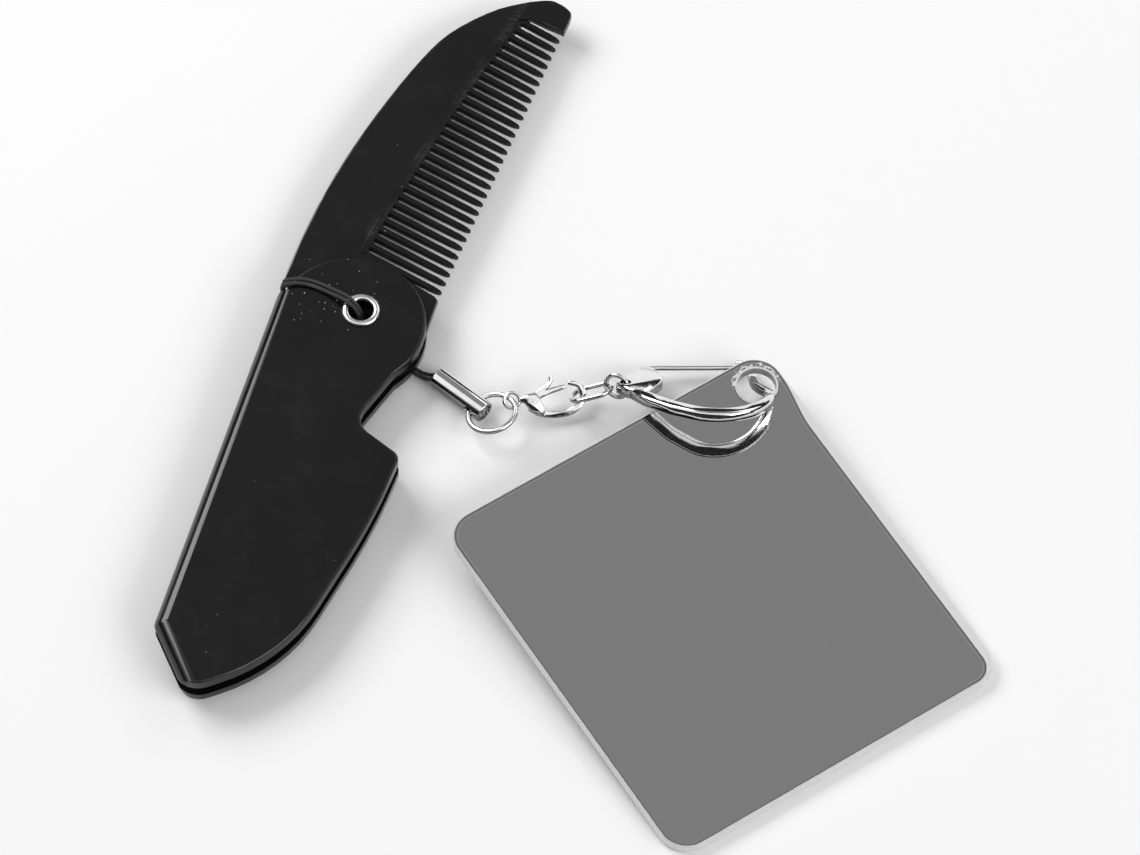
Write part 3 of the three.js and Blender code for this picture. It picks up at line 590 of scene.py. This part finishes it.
def braid_group():
    """A fine braid along a curve: a core, and collars of slanting stitches set a pitch apart."""
    group, sockets, tree, given = geometry_group(
        "braid_along_cord",
        Cord_diameter="Float", Stitch_pitch="Float", Stitches_round="Int", Fibre="Material",
    )
    radius = given["Cord diameter"] * 0.5
    pitch = given["Stitch pitch"]
    count = given["Stitches round"]
    line = tree.node(
        "GeometryNodeResampleCurve", {"mode": "LENGTH"}, {"Curve": given["Geometry"], "Length": pitch}
    )[0]
    core = swept(tree, line, 12, radius * CORE_SHARE)

    def turned(first, then):
        return tree.node(
            "FunctionNodeRotateEuler", {"space": "LOCAL"}, {"Rotation": first, "Rotate By": then}
        )[0]

    # One collar: stitches round the cord, each leaning over to the next collar.
    stitch = tree.node("GeometryNodeMeshIcoSphere", {}, {"Radius": 1.0, "Subdivisions": 1})[0]
    seats = tree.node("GeometryNodeMeshCircle", {}, {"Vertices": count, "Radius": radius * SEAT_SHARE})[0]
    round_angle = tree.node("GeometryNodeInputIndex")[0] * (2 * pi) / count
    size = tree.vector(radius * STITCH_DEPTH, radius * STITCH_WIDTH, pitch * STITCH_LENGTH)

    def collar(lean):
        placed = tree.node(
            "GeometryNodeInstanceOnPoints", {},
            {"Points": seats, "Instance": stitch, "Scale": size,
             "Rotation": turned(tree.vector(z=round_angle), tree.vector(radians(lean)))},
        )[0]
        return tree.node("GeometryNodeRealizeInstances", {}, {0: placed})[0]

    # Collars that lean one way and the other take turns along the cord.
    both = tree.node("GeometryNodeGeometryToInstance")
    for lean in (STITCH_LEAN, -STITCH_LEAN):
        tree.tree.links.new(collar(lean).socket, both.node.inputs[0])
    odd = tree.math("MODULO", tree.node("GeometryNodeInputIndex")[0], 2.0)
    tangent = tree.node("GeometryNodeInputTangent")[0]
    stand = tree.node("FunctionNodeAlignEulerToVector", {"axis": "Z"}, {"Vector": tangent})[0]
    stitches = tree.node(
        "GeometryNodeInstanceOnPoints", {},
        {"Points": line, "Instance": both[0], "Pick Instance": True,
         "Instance Index": tree.node("FunctionNodeFloatToInt", {}, {0: odd})[0],
         "Rotation": turned(stand, tree.vector(z=odd * pi / count))},
    )[0]
    joined = tree.node("GeometryNodeJoinGeometry")
    for part in (stitches, core):
        tree.tree.links.new(part.socket, joined.node.inputs[0])
    real = tree.node("GeometryNodeRealizeInstances", {}, {0: joined[0]})[0]
    put_out(tree, shade(tree, real), given["Fibre"])
    return group, sockets


braid = braid_group()


def braided(name, lines):
    """Braided cord along each list of points."""
    data = bpy.data.curves.new(name + "_line", "CURVE")
    data.dimensions = "3D"
    for points in lines:
        spline = data.splines.new("BEZIER")
        spline.bezier_points.add(len(points) - 1)
        for knot, point in zip(spline.bezier_points, points):
            knot.co = point
            knot.handle_left_type = knot.handle_right_type = "AUTO"
        spline.resolution_u = STEPS_BETWEEN_POINTS
    source = put(name + "_line", data)
    apply_group(
        source, "braid", *braid,
        Cord_diameter=CORD_DIAMETER, Stitch_pitch=BRAID_PITCH, Stitches_round=STITCHES_ROUND,
        Fibre=cord_fibre,
    )
    return mesh_from(source, name)


def strand(side):
    """One of the loop's two strands."""
    return [PIVOT + Vector((x, y + side * half, z)) * MM for x, y, z, half in LOOP_ROUTE]


mouth = PIVOT + EXIT + EXIT_TO_FERRULE * level(EXIT_YAW)
mouth.z = FERRULE_DIAMETER / 2
knot_centre = mouth + level(FERRULE_YAW) * KNOT_FROM_MOUTH


def tail(side):
    """One end of the cord, from just inside the loop to the knot."""
    start = PIVOT + EXIT + Vector((EXIT_OVERLAP, 0, 0))
    points = []
    for along, lift in LIFTS:
        spot = start.lerp(mouth, along)
        spot.z = CORD_LIE + lift * (mouth.z - CORD_LIE)
        points.append(spot)
    points += [mouth + level(FERRULE_YAW) * along for along in (JUST_INSIDE, KNOT_FROM_MOUTH)]
    return [point + Vector((0, side * HALF_SPACING, 0)) for point in points]


def overhand_knot(centre):
    """The line of a small round knot: a coil whose turns cross each other, a little narrower than long."""
    radius = (KNOT_DIAMETER - CORD_DIAMETER) / 2
    shape = Matrix.Diagonal((radius * 0.9, radius * 0.98, radius * 0.9))
    points = []
    for i in range(KNOT_STEPS):
        whole = 2 * pi * i / (KNOT_STEPS - 1)
        coil, turn = KNOT_TURNS * whole, 2 * whole
        points.append(centre + shape @ Vector((cos(turn) * cos(coil), sin(coil), sin(turn) * cos(coil))))
    return points


loop = braided("braided_loop", [strand(1) + [PIVOT + Vector(BIGHT) * MM] + strand(-1)[::-1]])
stand_for(loop, "strap_loop", "handle")
tails = braided("braided_tail", [tail(1), tail(-1), overhand_knot(knot_centre)])
stand_for(tails, "strap_tail", "strap_end")


# Rings and link of bent wire
WIRE_CUT = 0.05 * MM
BEND_STEPS = 120
END_CREASE = 1.0  # radians; only the cut ends stay sharp


def wire_group():
    """Round wire bent into a ring, drawn out along x by a straight run, with a fine cut at its joint."""
    group, sockets, tree, given = geometry_group(
        "bent_wire",
        Ring_radius="Float", Wire_diameter="Float", Straight_run="Float", Cut="Float", Cut_at="Float",
        Plating="Material",
    )
    radius = given["Ring radius"]
    cut = given["Cut"] / radius
    bend = tree.node(
        "GeometryNodeCurveArc", {"mode": "RADIUS"},
        {"Resolution": BEND_STEPS, "Radius": radius, "Start Angle": given["Cut at"] + cut * 0.5,
         "Sweep Angle": 2 * pi - cut},
    )[0]
    # The two ends stay together in the middle of the straight run that they are on.
    side = tree.math("SIGN", tree.axes(tree.node("GeometryNodeInputPosition")[0])["X"])
    ends = tree.node("GeometryNodeCurveEndpointSelection")[0]
    drawn = tree.vector(side * given["Straight run"] * 0.5 * (1 - ends))
    path = tree.node("GeometryNodeSetPosition", {}, {"Geometry": bend, "Offset": drawn})[0]
    bar = swept(tree, path, 20, given["Wire diameter"] * 0.5)
    real = tree.node("GeometryNodeRealizeInstances", {}, {0: bar})[0]
    put_out(tree, shade(tree, real, END_CREASE), given["Plating"])
    return group, sockets


bending = wire_group()


def lie_of(name):
    """Where a CAD ring lies: x along its longer side, z through its middle."""
    corners = np.array([v.co for v in nodes[name].data.vertices])
    centre = corners.mean(0)
    _, axes = np.linalg.eigh(np.cov((corners - centre).T))
    through, long = Vector(axes[:, 0]), Vector(axes[:, 2])
    across = through.cross(long)
    return Matrix.Translation(centre) @ Matrix((long, across, through)).transposed().to_4x4()


def bent_wire(name, node, body, width, wire, length=None, cut_at=90):
    """A closed ring or link of wire in the place of a CAD node, with its outside width and length."""
    source = put(name + "_blank", bpy.data.meshes.new(name + "_blank"))
    source.matrix_world = lie_of(node)
    apply_group(
        source, "wire", *bending,
        Ring_radius=(width - wire) / 2, Wire_diameter=wire, Straight_run=(length or width) - width,
        Cut=WIRE_CUT, Cut_at=radians(cut_at), Plating=chain_chrome,
    )
    stand_for(mesh_from(source, name), node, body)


bent_wire("split_jump_ring", "jump_ring", "ring", width=9.15 * MM, wire=0.95 * MM, cut_at=250)
bent_wire("drawn_oval_link", "oval_link", "link", width=5.4 * MM, length=8.2 * MM, wire=0.85 * MM)
bent_wire("small_clip_ring", "clip_ring", "small_ring", width=4.9 * MM, wire=0.8 * MM, cut_at=160)


# Finishes of the other pieces
finish_node("handle_case", plastic_case, crease=50)
finish_node("comb_blade", plastic_blade, crease=24)
for name in ("pivot_eyelet", "eyelet_washer"):
    finish_node(name, rolled_chrome, crease=50)
for name in ("cord_ferrule", "clasp_pin", "clasp_spring", "clip_gate"):
    finish_node(name, chain_chrome, crease=50)
for name in ("clasp_body", "clasp_lever", "clip_body"):
    finish_node(name, cast_chrome, crease=78, flat_faces=False)
finish_node("mirror_plate", mirror_face, crease=30)


# Table, lamps and surroundings
TABLE_HALF = 3.0
TABLE_DROP = 0.02 * MM  # so that it doesn't touch what lies on it
TABLE_WHITE = 0.96
ROOM_LIGHT = 0.36
ROOM_WHITE = 0.98
ROOM_DARK = 0.025
CARD_GREY = 0.245
CARD_RADIUS = 28  # degrees of the sky
CARD_EDGE = 5
TO_CARD = Vector((-0.1, 0.47, 0.877)).normalized()
TO_UNLIT_SIDE = Vector((-0.12, -0.97, 0.2)).normalized()
ACROSS_STRIP = Vector((0.15, 0.95, -0.27)).normalized()


def table_top():
    """A wide white table just under the part."""
    data = bpy.data.meshes.new("table_top")
    corners = [(x * TABLE_HALF, y * TABLE_HALF, 0) for x, y in ((-1, -1), (1, -1), (1, 1), (-1, 1))]
    data.from_pydata(corners, [], [(0, 1, 2, 3)])
    made = put("table_top", data)
    made.location.z = -TABLE_DROP
    material, tree = new_material("white_table")
    data.materials.append(feed(material, tree, Base_Color=grey(TABLE_WHITE), Roughness=0.9))


def soft_box(name, place, size, power, aim=(0, 0, 0)):
    """A large lamp that faces its aim."""
    lamp = bpy.data.lights.new(name, "AREA")
    lamp.shape = "RECTANGLE"
    lamp.size, lamp.size_y = size
    lamp.energy = power
    made = put(name, lamp)
    made.location = place
    made.rotation_euler = (Vector(place) - Vector(aim)).to_track_quat("Z", "Y").to_euler()


def surroundings():
    """An even white studio. What polished metal and the mirror show of it has a grey ceiling card, a
    dark band low down all round, a dark strip overhead, and the unlit side that the camera stands on."""
    world = bpy.data.worlds.new("studio")
    world.use_nodes = True
    scene.world = world
    world.node_tree.nodes.clear()
    tree = Tree(world.node_tree)
    way = tree.node("ShaderNodeTexCoord")["Generated"]
    path = tree.node("ShaderNodeLightPath")
    height = tree.axes(way)["Z"]
    above_table = tree.step(height, 0.02, 0.05)

    def towards(direction):
        return tree.vector_math("DOT_PRODUCT", way, direction)["Value"]

    band = above_table * tree.step(height, 0.56, 0.44)
    front = tree.step(towards(TO_UNLIT_SIDE), 0.62, 0.76) * above_table
    strip = tree.step(abs(towards(ACROSS_STRIP)), 0.085, 0.05) * 0.9
    card = tree.step(
        towards(TO_CARD), cos(radians(CARD_RADIUS)), cos(radians(CARD_RADIUS - CARD_EDGE))
    )
    dark = tree.most(tree.most(band, front), strip)
    mirrored = tree.blend(card, tree.blend(dark, grey(ROOM_WHITE), grey(ROOM_DARK)), grey(CARD_GREY))
    plain = tree.blend(path["Is Camera Ray"], grey(ROOM_LIGHT), grey(1.0))
    colour = tree.blend(path["Is Glossy Ray"], plain, mirrored)
    light = tree.node("ShaderNodeBackground", {}, {"Color": colour, "Strength": 1.0})
    tree.node("ShaderNodeOutputWorld", {}, {"Surface": light[0]})


table_top()
surroundings()
soft_box("left_box", place=(-0.86, 0.36, 0.76), size=(0.85, 0.6), power=9, aim=(-0.05, 0, 0))
soft_box("right_box", place=(0.91, -0.296, 0.67), size=(0.9, 0.45), power=6)
soft_box("back_box", place=(0.35, 0.9, 0.6), size=(0.8, 0.35), power=1)
scene.view_settings.view_transform = "Standard"
